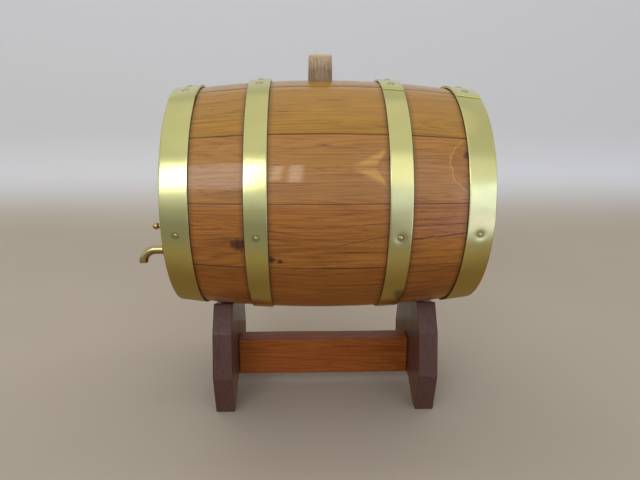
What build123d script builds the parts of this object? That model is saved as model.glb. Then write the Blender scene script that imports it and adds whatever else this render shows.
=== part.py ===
from build123d import *
import math
import os

os.makedirs("parts", exist_ok=True)

# A small oak wine keg that lies on a cradle stand of two end boards and a rail.
# Millimetres. +X runs along the barrel, away from the tap; +Z is up; the feet stand on Z = 0.
# The origin is on the floor, half way along the whole object with its tap.

# ---------------------------------------------------------------- driving dimensions

# Barrel
BARREL_LENGTH = 290.0
BILGE_RADIUS = 116.0
END_RADIUS = 105.4
STAVE_THICKNESS = 12.0
AXIS_HEIGHT = 218.0
FIRST_JOINT = -22.5  # angles go up from the front (-Y) over the top
STAVE_ARCS = (30.0, 30.5, 34.0, 36.0, 34.0, 30.5, 30.0, 27.0, 27.0, 27.0, 27.0, 27.0)
BUNG_STAVE = 4
CHIME_BEVEL_LENGTH = 7.0
CHIME_BEVEL_DEPTH = 5.0

# Heads, each of three boards held in a groove, the croze, near the stave ends
CROZE_INSET = 13.0
CROZE_WIDTH = 5.0
CROZE_DEPTH = 4.5
HEAD_THICKNESS = 11.0
HEAD_JOINT_HEIGHT = 33.0
HEAD_FIT = 0.1
HEAD_BEVEL = 6.0
TONGUE_STEP = 0.6
DOWEL_RADIUS = 3.0
DOWEL_LENGTH = 24.0
DOWEL_SPREAD = 52.0

# Hoops, of brass strip lapped and riveted on top
HOOP_THICKNESS = 1.2
HOOP_FIT = 0.2
END_HOOP_WIDTH = 25.0
QUARTER_HOOP_WIDTH = 20.0
END_HOOP_INSET = 0.2
QUARTER_HOOP_LEFT = -62.8
QUARTER_HOOP_RIGHT = 61.0
LAP_START = 68.0
LAP_ARC = 27.0
LAP_CORNER = 2.0
RIVET_ANGLES = (75.5, 87.5)
RIVET_SHANK_RADIUS = 1.5
RIVET_LENGTH = 2.1
RIVET_HEAD_RADIUS = 3.4
RIVET_HEAD_HEIGHT = 1.1
NAIL_ANGLES = (-7.5, 187.5)
NAIL_SHANK_RADIUS = 1.0
NAIL_LENGTH = 6.5
NAIL_HEAD_RADIUS = 2.2
NAIL_HEAD_HEIGHT = 1.0
FASTENER_FIT = 0.05

# Bung, a tapered plug standing in the bung hole
BUNG_X = -5.0
BUNG_RADIUS = 12.0
BUNG_TOP_RADIUS = 11.5
BUNG_TIP_RADIUS = 10.9
BUNG_PROUD = 24.0
BUNG_DEPTH = 15.0
BUNG_ROUNDING = 2.5
BUNG_FIT = 0.12

# Tap
TAP_DROP = 58.5  # spout centre line below the barrel's axis
SPOUT_RADIUS = 4.75
SPOUT_BEND = 13.5
SPOUT_MOUTH_X = 193.2  # from the barrel's middle to the mouth's centre
SPOUT_MOUTH_DROP = 14.0
PASSAGE_RADIUS = 2.4
PLUG_X = 164.0
HOUSING_RADIUS = 8.5
HOUSING_TOP = 9.0
HOUSING_BOTTOM = 5.5
TAP_TUBE_RADIUS = 5.6
TAP_COLLAR_RADIUS = 11.0
TAP_COLLAR_LENGTH = 4.0
SEAL_THICKNESS = 1.5
SHANK_RADIUS = 6.5
SHANK_END_X = 110.0
BACKNUT_THICKNESS = 5.0
BACKNUT_FLATS = 19.0
PLUG_TOP_RADIUS = 5.2
PLUG_BOTTOM_RADIUS = 4.6
PLUG_FIT = 0.05
KEY_GAP = 0.15
KEY_COLLAR_RADIUS = 6.6
KEY_COLLAR_HEIGHT = 2.2
KEY_STEM_RADIUS = 2.5
KEY_BAR_HEIGHT = 26.0
KEY_BAR_RADIUS = 2.3
KEY_BALL_RADIUS = 3.9
KEY_BALL_SPREAD = 13.0
STUD_RADIUS = 1.8
STUD_LENGTH = 5.6
WASHER_RADIUS = 4.6
WASHER_THICKNESS = 0.8
NUT_FLATS = 7.0
NUT_THICKNESS = 3.2

# Stand
BOARD_THICKNESS = 20.0
BOARD_INNER_X = 94.3
CRADLE_RADIUS = 111.8
TIP_HALF = 42.0
SHOULDER_HALF = 60.4
SHOULDER_HEIGHT = 88.4
WAIST_HALF = 71.0
WAIST_HEIGHT = 44.0
FOOT_HALF = 61.0
FOOT_LENGTH = 12.0
ARCH_HALF = 22.0
ARCH_HEIGHT = 15.0
RAIL_THICKNESS = 23.0
RAIL_BOTTOM = 16.0
RAIL_TOP = 58.0
SCREW_SHANK_RADIUS = 2.2
SCREW_HEAD_RADIUS = 4.6
SCREW_LENGTH = 48.0
SCREW_SINK = 0.5
SCREW_HEIGHTS = (27.0, 47.0)

# ---------------------------------------------------------------- derived places

HALF_LENGTH = BARREL_LENGTH / 2
MID = (SPOUT_MOUTH_X + SPOUT_RADIUS - HALF_LENGTH) / 2  # the barrel's middle, along X
BULGE_RISE = BILGE_RADIUS - END_RADIUS
BULGE_RADIUS = (HALF_LENGTH**2 + BULGE_RISE**2) / (2 * BULGE_RISE)
TAP_HEIGHT = AXIS_HEIGHT - TAP_DROP
HEAD_OUTER_X = HALF_LENGTH - CROZE_INSET - HEAD_FIT
HEAD_INNER_X = HEAD_OUTER_X - HEAD_THICKNESS
PLUG_PLACE_X = MID - PLUG_X
HOOPS = {
    "hoop_end_left": (-(HALF_LENGTH - END_HOOP_INSET - END_HOOP_WIDTH / 2), END_HOOP_WIDTH),
    "hoop_quarter_left": (QUARTER_HOOP_LEFT, QUARTER_HOOP_WIDTH),
    "hoop_quarter_right": (QUARTER_HOOP_RIGHT, QUARTER_HOOP_WIDTH),
    "hoop_end_right": (HALF_LENGTH - END_HOOP_INSET - END_HOOP_WIDTH / 2, END_HOOP_WIDTH),
}
BARREL_AXIS = Axis((MID, 0, AXIS_HEIGHT), (-1, 0, 0))
BUNG_AXIS = Axis((MID + BUNG_X, 0, 0), (0, 0, 1))


def outer_radius(x):
    """The staves' outside radius at x from the barrel's middle."""
    return BILGE_RADIUS - BULGE_RADIUS + math.sqrt(BULGE_RADIUS**2 - x**2)


def inner_radius(x):
    """The staves' inside radius: an arc with the same centre as the outside."""
    arc = BULGE_RADIUS - STAVE_THICKNESS
    return BILGE_RADIUS - BULGE_RADIUS + math.sqrt(arc**2 - x**2)


def outward(angle):
    """Unit vector from the barrel's axis at an angle counted up from the front."""
    turn = math.radians(angle)
    return Vector(0, -math.cos(turn), math.sin(turn))


def radial_plane(angle):
    """Plane through the barrel's axis: local X along the barrel, local Y outward."""
    turn = math.radians(angle)
    normal = (0, -math.sin(turn), -math.cos(turn))
    return Plane(origin=(MID, 0, AXIS_HEIGHT), x_dir=(1, 0, 0), z_dir=normal)


def surface_plane(x, angle, radius):
    """Plane square to the bulging surface, at a radius from the barrel's axis."""
    lean = math.asin(x / BULGE_RADIUS)
    along = Vector(1, 0, 0)
    origin = Vector(MID + x, 0, AXIS_HEIGHT) + outward(angle) * radius
    tangent = along * math.cos(lean) - outward(angle) * math.sin(lean)
    normal = outward(angle) * math.cos(lean) + along * math.sin(lean)
    return Plane(origin=origin, x_dir=tangent, z_dir=normal)


def hoop_radius(x, width):
    """Inside radius of a hoop at its middle, a straight strip on the curved staves."""
    return (outer_radius(x - width / 2) + outer_radius(x + width / 2)) / 2 + HOOP_FIT


def save(part, name):
    part.label = name
    export_step(part, f"parts/{name}.step")


# ---------------------------------------------------------------- staves

FRONT_NAIL_PLANES, BACK_NAIL_PLANES = (
    [surface_plane(x, angle, hoop_radius(x, width) + HOOP_THICKNESS) for x, width in HOOPS.values()]
    for angle in NAIL_ANGLES
)
NAIL_PLANES = FRONT_NAIL_PLANES + BACK_NAIL_PLANES
CROZE_X = HALF_LENGTH - CROZE_INSET - CROZE_WIDTH / 2
CROZE_RADIUS = inner_radius(CROZE_X) + CROZE_DEPTH
BEVEL_X = HALF_LENGTH - CHIME_BEVEL_LENGTH
BEVEL_RADIUS = inner_radius(HALF_LENGTH) + CHIME_BEVEL_DEPTH


def bung_outline(tip_radius, surface_radius, height, radius):
    """Half section of the tapered bung, or of its hole, up to a height and a radius there."""
    middle = MID + BUNG_X
    surface = AXIS_HEIGHT + BILGE_RADIUS
    Polyline(
        (middle, surface + height),
        (middle, surface - BUNG_DEPTH),
        (middle + tip_radius, surface - BUNG_DEPTH),
        (middle + surface_radius, surface),
        (middle + radius, surface + height),
        close=True,
    )


joint_angle = FIRST_JOINT
for number, arc in enumerate(STAVE_ARCS, start=1):
    with BuildPart() as stave:
        with BuildSketch(radial_plane(joint_angle)):
            with BuildLine():
                ThreePointArc((-HALF_LENGTH, END_RADIUS), (0, BILGE_RADIUS), (HALF_LENGTH, END_RADIUS))
                Line((HALF_LENGTH, END_RADIUS), (HALF_LENGTH, BEVEL_RADIUS))
                Line((HALF_LENGTH, BEVEL_RADIUS), (BEVEL_X, inner_radius(BEVEL_X)))
                ThreePointArc(
                    (BEVEL_X, inner_radius(BEVEL_X)),
                    (0, inner_radius(0)),
                    (-BEVEL_X, inner_radius(BEVEL_X)),
                )
                Line((-BEVEL_X, inner_radius(BEVEL_X)), (-HALF_LENGTH, BEVEL_RADIUS))
                Line((-HALF_LENGTH, BEVEL_RADIUS), (-HALF_LENGTH, END_RADIUS))
            make_face()
            with Locations((-CROZE_X, CROZE_RADIUS), (CROZE_X, CROZE_RADIUS)):
                Rectangle(
                    CROZE_WIDTH, 2 * CROZE_DEPTH, align=(Align.CENTER, Align.MAX), mode=Mode.SUBTRACT
                )
        revolve(axis=BARREL_AXIS, revolution_arc=arc)
        # Holes of the nails that pin the hoops, in the staves at the front and the back.
        for angle, planes in zip(NAIL_ANGLES, (FRONT_NAIL_PLANES, BACK_NAIL_PLANES)):
            if joint_angle < angle < joint_angle + arc:
                with Locations(*planes):
                    Hole(NAIL_SHANK_RADIUS + FASTENER_FIT, NAIL_LENGTH + HOOP_THICKNESS)
        if number == BUNG_STAVE:
            with BuildSketch(Plane.XZ):
                with BuildLine():
                    bung_outline(BUNG_TIP_RADIUS + BUNG_FIT, BUNG_RADIUS + BUNG_FIT, BUNG_FIT, BUNG_RADIUS)
                make_face()
            revolve(axis=BUNG_AXIS, mode=Mode.SUBTRACT)
    save(stave.part, f"stave_{number:02d}")
    joint_angle += arc

# ---------------------------------------------------------------- heads

HEAD_RADIUS = CROZE_RADIUS - HEAD_FIT
TONGUE_INNER_X = HEAD_OUTER_X - (CROZE_WIDTH - 2 * HEAD_FIT)
HEAD_BOARDS = {
    "bottom": (-HEAD_RADIUS - 1, -HEAD_JOINT_HEIGHT),
    "middle": (-HEAD_JOINT_HEIGHT, HEAD_JOINT_HEIGHT),
    "top": (HEAD_JOINT_HEIGHT, HEAD_RADIUS + 1),
}
DOWEL_X = (HEAD_OUTER_X + HEAD_INNER_X) / 2
DOWEL_PLACES = [
    (MID + side * DOWEL_X, spread, AXIS_HEIGHT + joint)
    for side in (-1, 1)
    for joint in (-HEAD_JOINT_HEIGHT, HEAD_JOINT_HEIGHT)
    for spread in (-DOWEL_SPREAD, DOWEL_SPREAD)
]

for side_name, side in (("left", -1), ("right", 1)):
    for board_name, (low, high) in HEAD_BOARDS.items():
        with BuildPart() as head_board:
            with BuildSketch(radial_plane(90)):
                with BuildLine():
                    Polyline(
                        (side * HEAD_INNER_X, 0),
                        (side * HEAD_INNER_X, inner_radius(HEAD_INNER_X) - HEAD_BEVEL),
                        (side * TONGUE_INNER_X, inner_radius(CROZE_X) - TONGUE_STEP),
                        (side * TONGUE_INNER_X, HEAD_RADIUS),
                        (side * HEAD_OUTER_X, HEAD_RADIUS),
                        (side * HEAD_OUTER_X, 0),
                        close=True,
                    )
                make_face()
            revolve(axis=BARREL_AXIS)
            with Locations((MID + side * DOWEL_X, 0, AXIS_HEIGHT + (low + high) / 2)):
                Box(2 * HEAD_THICKNESS, 3 * HEAD_RADIUS, high - low, mode=Mode.INTERSECT)
            with Locations(*DOWEL_PLACES):
                Cylinder(DOWEL_RADIUS + FASTENER_FIT, DOWEL_LENGTH, mode=Mode.SUBTRACT)
            if side < 0 and board_name == "bottom":
                with Locations((MID - DOWEL_X, 0, TAP_HEIGHT)):
                    Cylinder(
                        SHANK_RADIUS + FASTENER_FIT,
                        2 * HEAD_THICKNESS,
                        rotation=(0, 90, 0),
                        mode=Mode.SUBTRACT,
                    )
        save(head_board.part, f"head_{side_name}_{board_name}")

with BuildPart() as head_dowels:
    with Locations(*DOWEL_PLACES):
        Cylinder(DOWEL_RADIUS, DOWEL_LENGTH)
save(head_dowels.part, "head_dowels")

# ---------------------------------------------------------------- hoops, rivets and nails

RIVET_PLANES = [
    surface_plane(x, angle, hoop_radius(x, width) + 2 * HOOP_THICKNESS)
    for x, width in HOOPS.values()
    for angle in RIVET_ANGLES
]


def planes_on_hoop(planes, x, width):
    """Those of the planes that lie on the hoop at x."""
    return [plane for plane in planes if abs(plane.origin.X - MID - x) < width / 2]


def hoop_section(x, width, lift):
    """The strip's four corners, lifted by so much off the staves."""
    corners = []
    for edge, rise in ((-1, 0), (1, 0), (1, HOOP_THICKNESS), (-1, HOOP_THICKNESS)):
        place = x + edge * width / 2
        corners.append((place, outer_radius(place) + HOOP_FIT + lift + rise))
    return corners


for name, (x, width) in HOOPS.items():
    with BuildPart() as hoop:
        with BuildSketch(radial_plane(0)):
            Polygon(*hoop_section(x, width, 0), align=None)
        revolve(axis=BARREL_AXIS)
        # The outer end of the strip laps over the inner end.
        with BuildSketch(radial_plane(LAP_START)):
            Polygon(*hoop_section(x, width, HOOP_THICKNESS), align=None)
        revolve(axis=BARREL_AXIS, revolution_arc=LAP_ARC)
        corners = hoop.edges().filter_by(lambda edge: edge.length < 1.1 * HOOP_THICKNESS)
        chamfer(corners, LAP_CORNER)
        with Locations(*planes_on_hoop(RIVET_PLANES, x, width)):
            Hole(RIVET_SHANK_RADIUS + FASTENER_FIT, 4 * HOOP_THICKNESS)
        with Locations(*planes_on_hoop(NAIL_PLANES, x, width)):
            Hole(NAIL_SHANK_RADIUS + FASTENER_FIT, 2 * HOOP_THICKNESS)
    save(hoop.part, name)


def domed_fastener(shank_radius, shank_length, head_radius, head_height):
    """Outline of a half section: shank below local Y = 0, domed head above it."""
    dome = (head_radius**2 + head_height**2) / (2 * head_height)
    half_way = (head_radius / 2, head_height - dome + math.sqrt(dome**2 - head_radius**2 / 4))
    Polyline(
        (0, head_height),
        (0, -shank_length),
        (shank_radius, -shank_length),
        (shank_radius, 0),
        (head_radius, 0),
    )
    ThreePointArc((head_radius, 0), half_way, (0, head_height))


with BuildPart() as rivet_pattern:
    with BuildSketch(Plane.XZ):
        with BuildLine():
            domed_fastener(RIVET_SHANK_RADIUS, RIVET_LENGTH, RIVET_HEAD_RADIUS, RIVET_HEAD_HEIGHT)
        make_face()
    revolve(axis=Axis.Z)

with BuildPart() as hoop_rivets:
    with Locations(*[plane.offset(FASTENER_FIT) for plane in RIVET_PLANES]):
        add(rivet_pattern.part)
save(hoop_rivets.part, "hoop_rivets")

with BuildPart() as nail_pattern:
    with BuildSketch(Plane.XZ):
        with BuildLine():
            domed_fastener(NAIL_SHANK_RADIUS, NAIL_LENGTH, NAIL_HEAD_RADIUS, NAIL_HEAD_HEIGHT)
        make_face()
    revolve(axis=Axis.Z)

with BuildPart() as hoop_nails:
    with Locations(*[plane.offset(FASTENER_FIT) for plane in NAIL_PLANES]):
        add(nail_pattern.part)
save(hoop_nails.part, "hoop_nails")

# ---------------------------------------------------------------- bung

with BuildPart() as bung:
    with BuildSketch(Plane.XZ):
        with BuildLine():
            bung_outline(BUNG_TIP_RADIUS, BUNG_RADIUS, BUNG_PROUD, BUNG_TOP_RADIUS)
        make_face()
    revolve(axis=BUNG_AXIS)
    fillet(bung.edges().group_by(Axis.Z)[-1], BUNG_ROUNDING)
save(bung.part, "bung")

# ---------------------------------------------------------------- tap

COLLAR_INNER_X = HEAD_OUTER_X + SEAL_THICKNESS
MOUTH_PLACE_X = MID - SPOUT_MOUTH_X
PLUG_AXIS = Axis((PLUG_PLACE_X, 0, 0), (0, 0, 1))
PLUG_PLANE = Plane(origin=(PLUG_PLACE_X, 0, TAP_HEIGHT), x_dir=(1, 0, 0), z_dir=(0, -1, 0))


def tap_plane(x):
    """Plane across the tap's line, facing out of the barrel, at x from its middle."""
    return Plane(origin=(MID - x, 0, TAP_HEIGHT), x_dir=(0, -1, 0), z_dir=(-1, 0, 0))


def plug_cone(growth):
    """Half section of the tapered plug from the housing's bottom to its top."""
    Polyline(
        (0, -HOUSING_BOTTOM - KEY_GAP),
        (PLUG_BOTTOM_RADIUS + growth, -HOUSING_BOTTOM - KEY_GAP),
        (PLUG_TOP_RADIUS + growth, HOUSING_TOP + KEY_GAP),
        (0, HOUSING_TOP + KEY_GAP),
        close=True,
    )


def spout_path(start_x):
    """The tap's centre line, from a place in the barrel round the bend to the mouth."""
    bend_start = (MOUTH_PLACE_X + SPOUT_BEND, 0, TAP_HEIGHT)
    bend_end = (MOUTH_PLACE_X, 0, TAP_HEIGHT - SPOUT_BEND)
    Line((MID - start_x, 0, TAP_HEIGHT), bend_start)
    TangentArc(bend_start, bend_end, tangent=(-1, 0, 0))
    Line(bend_end, (MOUTH_PLACE_X, 0, TAP_HEIGHT - SPOUT_MOUTH_DROP))


with BuildPart() as tap_body:
    for start, end, radius in (
        (SHANK_END_X, COLLAR_INNER_X, SHANK_RADIUS),
        (COLLAR_INNER_X, COLLAR_INNER_X + TAP_COLLAR_LENGTH, TAP_COLLAR_RADIUS),
        (COLLAR_INNER_X + TAP_COLLAR_LENGTH, PLUG_X, TAP_TUBE_RADIUS),
    ):
        with BuildSketch(tap_plane(start)):
            Circle(radius)
        extrude(amount=end - start)
    with BuildSketch(Plane.XY.offset(TAP_HEIGHT - HOUSING_BOTTOM)):
        with Locations((PLUG_PLACE_X, 0)):
            Circle(HOUSING_RADIUS)
    extrude(amount=HOUSING_TOP + HOUSING_BOTTOM)
    with BuildLine():
        spout_path(PLUG_X)
    with BuildSketch(tap_plane(PLUG_X)):
        Circle(SPOUT_RADIUS)
    sweep()
    with BuildLine():
        spout_path(SHANK_END_X)
    with BuildSketch(tap_plane(SHANK_END_X)):
        Circle(PASSAGE_RADIUS)
    sweep(mode=Mode.SUBTRACT)
    with BuildSketch(PLUG_PLANE):
        with BuildLine():
            plug_cone(PLUG_FIT)
        make_face()
    revolve(axis=PLUG_AXIS, mode=Mode.SUBTRACT)
save(tap_body.part, "tap_body")

with BuildPart() as tap_seal:
    with BuildSketch(tap_plane(HEAD_OUTER_X)):
        Circle(TAP_COLLAR_RADIUS)
        Circle(SHANK_RADIUS + FASTENER_FIT, mode=Mode.SUBTRACT)
    extrude(amount=SEAL_THICKNESS)
save(tap_seal.part, "tap_seal")

with BuildPart() as tap_backnut:
    with BuildSketch(tap_plane(HEAD_INNER_X - BACKNUT_THICKNESS)):
        RegularPolygon(BACKNUT_FLATS / 2, 6, major_radius=False)
        Circle(SHANK_RADIUS + FASTENER_FIT, mode=Mode.SUBTRACT)
    extrude(amount=BACKNUT_THICKNESS)
save(tap_backnut.part, "tap_backnut")

with BuildPart() as tap_key:
    with BuildSketch(PLUG_PLANE):
        with BuildLine():
            plug_cone(0)
        make_face()
    revolve(axis=PLUG_AXIS)
    for low, high, radius in (
        (-HOUSING_BOTTOM - KEY_GAP - STUD_LENGTH, -HOUSING_BOTTOM - KEY_GAP, STUD_RADIUS),
        (HOUSING_TOP + KEY_GAP, HOUSING_TOP + KEY_GAP + KEY_COLLAR_HEIGHT, KEY_COLLAR_RADIUS),
        (HOUSING_TOP + KEY_GAP, KEY_BAR_HEIGHT, KEY_STEM_RADIUS),
    ):
        with BuildSketch(Plane.XY.offset(TAP_HEIGHT + low)):
            with Locations((PLUG_PLACE_X, 0)):
                Circle(radius)
        extrude(amount=high - low)
    with BuildSketch(tap_plane(PLUG_X - KEY_BALL_SPREAD)):
        with Locations((0, KEY_BAR_HEIGHT)):
            Circle(KEY_BAR_RADIUS)
    extrude(amount=2 * KEY_BALL_SPREAD)
    with Locations(
        (PLUG_PLACE_X - KEY_BALL_SPREAD, 0, TAP_HEIGHT + KEY_BAR_HEIGHT),
        (PLUG_PLACE_X + KEY_BALL_SPREAD, 0, TAP_HEIGHT + KEY_BAR_HEIGHT),
    ):
        Sphere(KEY_BALL_RADIUS)
    with BuildSketch(tap_plane(PLUG_X - HOUSING_RADIUS)):
        Circle(PASSAGE_RADIUS)
    extrude(amount=2 * HOUSING_RADIUS, mode=Mode.SUBTRACT)
save(tap_key.part, "tap_key")

WASHER_TOP = TAP_HEIGHT - HOUSING_BOTTOM - KEY_GAP

with BuildPart() as key_washer:
    with BuildSketch(Plane.XY.offset(WASHER_TOP - WASHER_THICKNESS)):
        with Locations((PLUG_PLACE_X, 0)):
            Circle(WASHER_RADIUS)
            Circle(STUD_RADIUS + FASTENER_FIT, mode=Mode.SUBTRACT)
    extrude(amount=WASHER_THICKNESS)
save(key_washer.part, "key_washer")

with BuildPart() as key_nut:
    with BuildSketch(Plane.XY.offset(WASHER_TOP - WASHER_THICKNESS - NUT_THICKNESS)):
        with Locations((PLUG_PLACE_X, 0)):
            RegularPolygon(NUT_FLATS / 2, 6, major_radius=False)
            Circle(STUD_RADIUS + FASTENER_FIT, mode=Mode.SUBTRACT)
    extrude(amount=NUT_THICKNESS)
save(key_nut.part, "key_nut")

# ---------------------------------------------------------------- stand

TIP_HEIGHT = AXIS_HEIGHT - math.sqrt(CRADLE_RADIUS**2 - TIP_HALF**2)
BOARD_OUTER_X = BOARD_INNER_X + BOARD_THICKNESS
SCREW_HEAD_LENGTH = SCREW_HEAD_RADIUS - SCREW_SHANK_RADIUS  # a 90 degree countersink


def screw_planes(side):
    """Planes on an end board's outer face, facing outward, where its screws go in."""
    places = [(MID + side * BOARD_OUTER_X, 0, height) for height in SCREW_HEIGHTS]
    return [Plane(origin=place, x_dir=(0, 1, 0), z_dir=(side, 0, 0)) for place in places]


for side_name, side in (("left", -1), ("right", 1)):
    inner_face = Plane(origin=(MID + side * BOARD_INNER_X, 0, 0), x_dir=(0, 1, 0), z_dir=(1, 0, 0))
    with BuildPart() as end_board:
        with BuildSketch(inner_face):
            with BuildLine():
                Polyline(
                    (0, TIP_HEIGHT),
                    (TIP_HALF, TIP_HEIGHT),
                    (SHOULDER_HALF, SHOULDER_HEIGHT),
                    (WAIST_HALF, WAIST_HEIGHT),
                    (FOOT_HALF, 0),
                    (FOOT_HALF - FOOT_LENGTH, 0),
                    (ARCH_HALF, ARCH_HEIGHT),
                    (0, ARCH_HEIGHT),
                )
                mirror(about=Plane.YZ)
            make_face()
            with Locations((0, AXIS_HEIGHT)):
                Circle(CRADLE_RADIUS, mode=Mode.SUBTRACT)
        extrude(amount=side * BOARD_THICKNESS)
        with Locations(*screw_planes(side)):
            CounterSinkHole(SCREW_SHANK_RADIUS + FASTENER_FIT, SCREW_HEAD_RADIUS + SCREW_SINK)
    save(end_board.part, f"end_board_{side_name}")

with BuildPart() as rail:
    with Locations((MID, 0, (RAIL_BOTTOM + RAIL_TOP) / 2)):
        Box(2 * BOARD_INNER_X, RAIL_THICKNESS, RAIL_TOP - RAIL_BOTTOM)
    with Locations(*screw_planes(-1), *screw_planes(1)):
        Hole(SCREW_SHANK_RADIUS + FASTENER_FIT, SCREW_LENGTH + SCREW_SINK)
save(rail.part, "rail")

with BuildPart() as screw_pattern:
    with BuildSketch(Plane.XZ):
        with BuildLine():
            Polyline(
                (0, -SCREW_SINK),
                (0, -SCREW_LENGTH),
                (SCREW_SHANK_RADIUS, -SCREW_LENGTH + SCREW_SHANK_RADIUS),
                (SCREW_SHANK_RADIUS, -SCREW_SINK - SCREW_HEAD_LENGTH),
                (SCREW_HEAD_RADIUS, -SCREW_SINK),
                close=True,
            )
        make_face()
    revolve(axis=Axis.Z)

with BuildPart() as rail_screws:
    with Locations(*screw_planes(-1), *screw_planes(1)):
        add(screw_pattern.part)
save(rail_screws.part, "rail_screws")
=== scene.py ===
from math import asin, cos, degrees, exp, hypot, pi, radians, sin, sqrt

import bmesh
import bpy
import numpy as np
from mathutils import Matrix, Vector, noise


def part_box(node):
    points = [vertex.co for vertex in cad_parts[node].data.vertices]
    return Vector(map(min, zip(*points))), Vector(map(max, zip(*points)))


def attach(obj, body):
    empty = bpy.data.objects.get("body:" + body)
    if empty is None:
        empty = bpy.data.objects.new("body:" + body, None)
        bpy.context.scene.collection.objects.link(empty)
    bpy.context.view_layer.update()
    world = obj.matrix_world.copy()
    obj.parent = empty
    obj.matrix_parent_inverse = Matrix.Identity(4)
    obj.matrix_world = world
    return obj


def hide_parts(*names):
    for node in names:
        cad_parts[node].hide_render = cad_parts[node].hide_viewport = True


# The looks of a small oak wine keg on its cradle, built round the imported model.
# Metres, in the row frame: +X along the barrel away from its tap, +Z up, the front towards -Y.

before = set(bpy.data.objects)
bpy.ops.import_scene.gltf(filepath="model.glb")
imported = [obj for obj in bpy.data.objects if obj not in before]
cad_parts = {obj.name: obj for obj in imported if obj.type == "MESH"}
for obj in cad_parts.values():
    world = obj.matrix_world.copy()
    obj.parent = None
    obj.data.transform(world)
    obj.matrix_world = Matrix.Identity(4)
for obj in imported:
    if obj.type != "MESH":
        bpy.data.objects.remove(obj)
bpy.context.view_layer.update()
MM = 0.001

# ------------------------ sizes and places

bottom_low, bottom_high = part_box("stave_10")
top_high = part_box("stave_04")[1]
MID = (bottom_low.x + bottom_high.x) / 2
HALF_LENGTH = (bottom_high.x - bottom_low.x) / 2
AXIS_HEIGHT = (bottom_low.z + top_high.z) / 2
BILGE_RADIUS = (top_high.z - bottom_low.z) / 2
END_RADIUS = 105.4 * MM
STAVE_THICKNESS = 12 * MM
BULGE_RISE = BILGE_RADIUS - END_RADIUS
BULGE_RADIUS = (HALF_LENGTH**2 + BULGE_RISE**2) / (2 * BULGE_RISE)
CROZE_X = 129.5 * MM
CROZE_HALF_WIDTH = 2.5 * MM
CROZE_DEPTH = 4.5 * MM
BEVEL_LENGTH = 7 * MM
BEVEL_DEPTH = 5 * MM
JOINT_ROUNDING = ((0.0, 0.55), (0.2, 0.28), (0.5, 0.09), (1.0, 0.0))  # in from the edge, drop; mm
FIRST_JOINT = -22.5
STAVE_ARCS = (30.0, 30.5, 34.0, 36.0, 34.0, 30.5, 30.0, 27.0, 27.0, 27.0, 27.0, 27.0)
STAVE_STATION = 4.8 * MM
STAVE_STATIONS, STAVE_COLUMNS, STAVE_LAYERS = 26, 14, 3
STAVE_CROWN = 0.28 * MM
TIGHT_JOINT, TIGHT_BELOW = 0.50 * MM, 25.0  # the joints within 25 degrees of the front
HAND_MARKS = 0.10 * MM  # how far the tools' marks wander in and out
STRIP_THICKNESS = 1.2 * MM
STRIP_FIT = 0.20 * MM
LAP_LOW, LAP_HIGH = 68.0, 95.0
NAIL_ANGLES = (-7.5, 187.5)
RIVET_ANGLES = (75.5, 87.5)


def outer_radius(x):
    """Outside radius of the staves at x from the barrel's middle."""
    return BILGE_RADIUS - BULGE_RADIUS + sqrt(BULGE_RADIUS**2 - x**2)


def inner_radius(x):
    """Inside radius of the staves, without the croze and the chime bevel."""
    return BILGE_RADIUS - BULGE_RADIUS + sqrt((BULGE_RADIUS - STAVE_THICKNESS) ** 2 - x**2)


def polar(x, angle, radius):
    """A point at x from the barrel's middle, at degrees up from the front and a radius."""
    turn = radians(angle)
    return Vector((MID + x, -radius * cos(turn), AXIS_HEIGHT + radius * sin(turn)))


def surface_matrix(x, angle, radius):
    """Place on the bulging barrel: local Z points straight out of it, local X along it."""
    turn = radians(angle)
    lean = asin(x / BULGE_RADIUS)
    out = Vector((0, -cos(turn), sin(turn)))
    normal = out * cos(lean) + Vector((sin(lean), 0, 0))
    tangent = Vector((cos(lean), 0, 0)) - out * sin(lean)
    across = normal.cross(tangent)
    place = Matrix((tangent, across, normal)).transposed().to_4x4()
    place.translation = polar(x, angle, radius)
    return place


def blend_step(low, high, value):
    """Smooth rise from 0 at low to 1 at high."""
    t = min(max((value - low) / (high - low), 0.0), 1.0)
    return t * t * (3 - 2 * t)


def wander(seed, *place):
    """Smooth noise from -1 to 1."""
    point = list(place) + [0.0] * (3 - len(place))
    return noise.noise(Vector(point) + Vector((seed * 7.31, seed * 3.17, seed * 11.9)))


# ------------------------ mesh helpers


def add_object(name, data):
    """A new object in the scene."""
    made = bpy.data.objects.new(name, data)
    bpy.context.scene.collection.objects.link(made)
    return made


def add_piece(name, mesh, body, slot, material, *replaced):
    """Puts a mesh in the scene as a piece of the object."""
    piece = add_object(name, mesh)
    mesh.materials.clear()
    mesh.materials.append(material)
    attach(piece, body)
    if replaced:
        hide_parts(*replaced)
    return piece


def finish_mesh(name, work, smooth_angle=40.0):
    """Turns a bmesh into a mesh with outward normals, shaded smooth except at sharp edges."""
    bmesh.ops.recalc_face_normals(work, faces=work.faces)
    mesh = bpy.data.meshes.new(name)
    work.to_mesh(mesh)
    work.free()
    mesh.shade_smooth()
    mesh.set_sharp_from_angle(angle=radians(smooth_angle))
    return mesh


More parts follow.
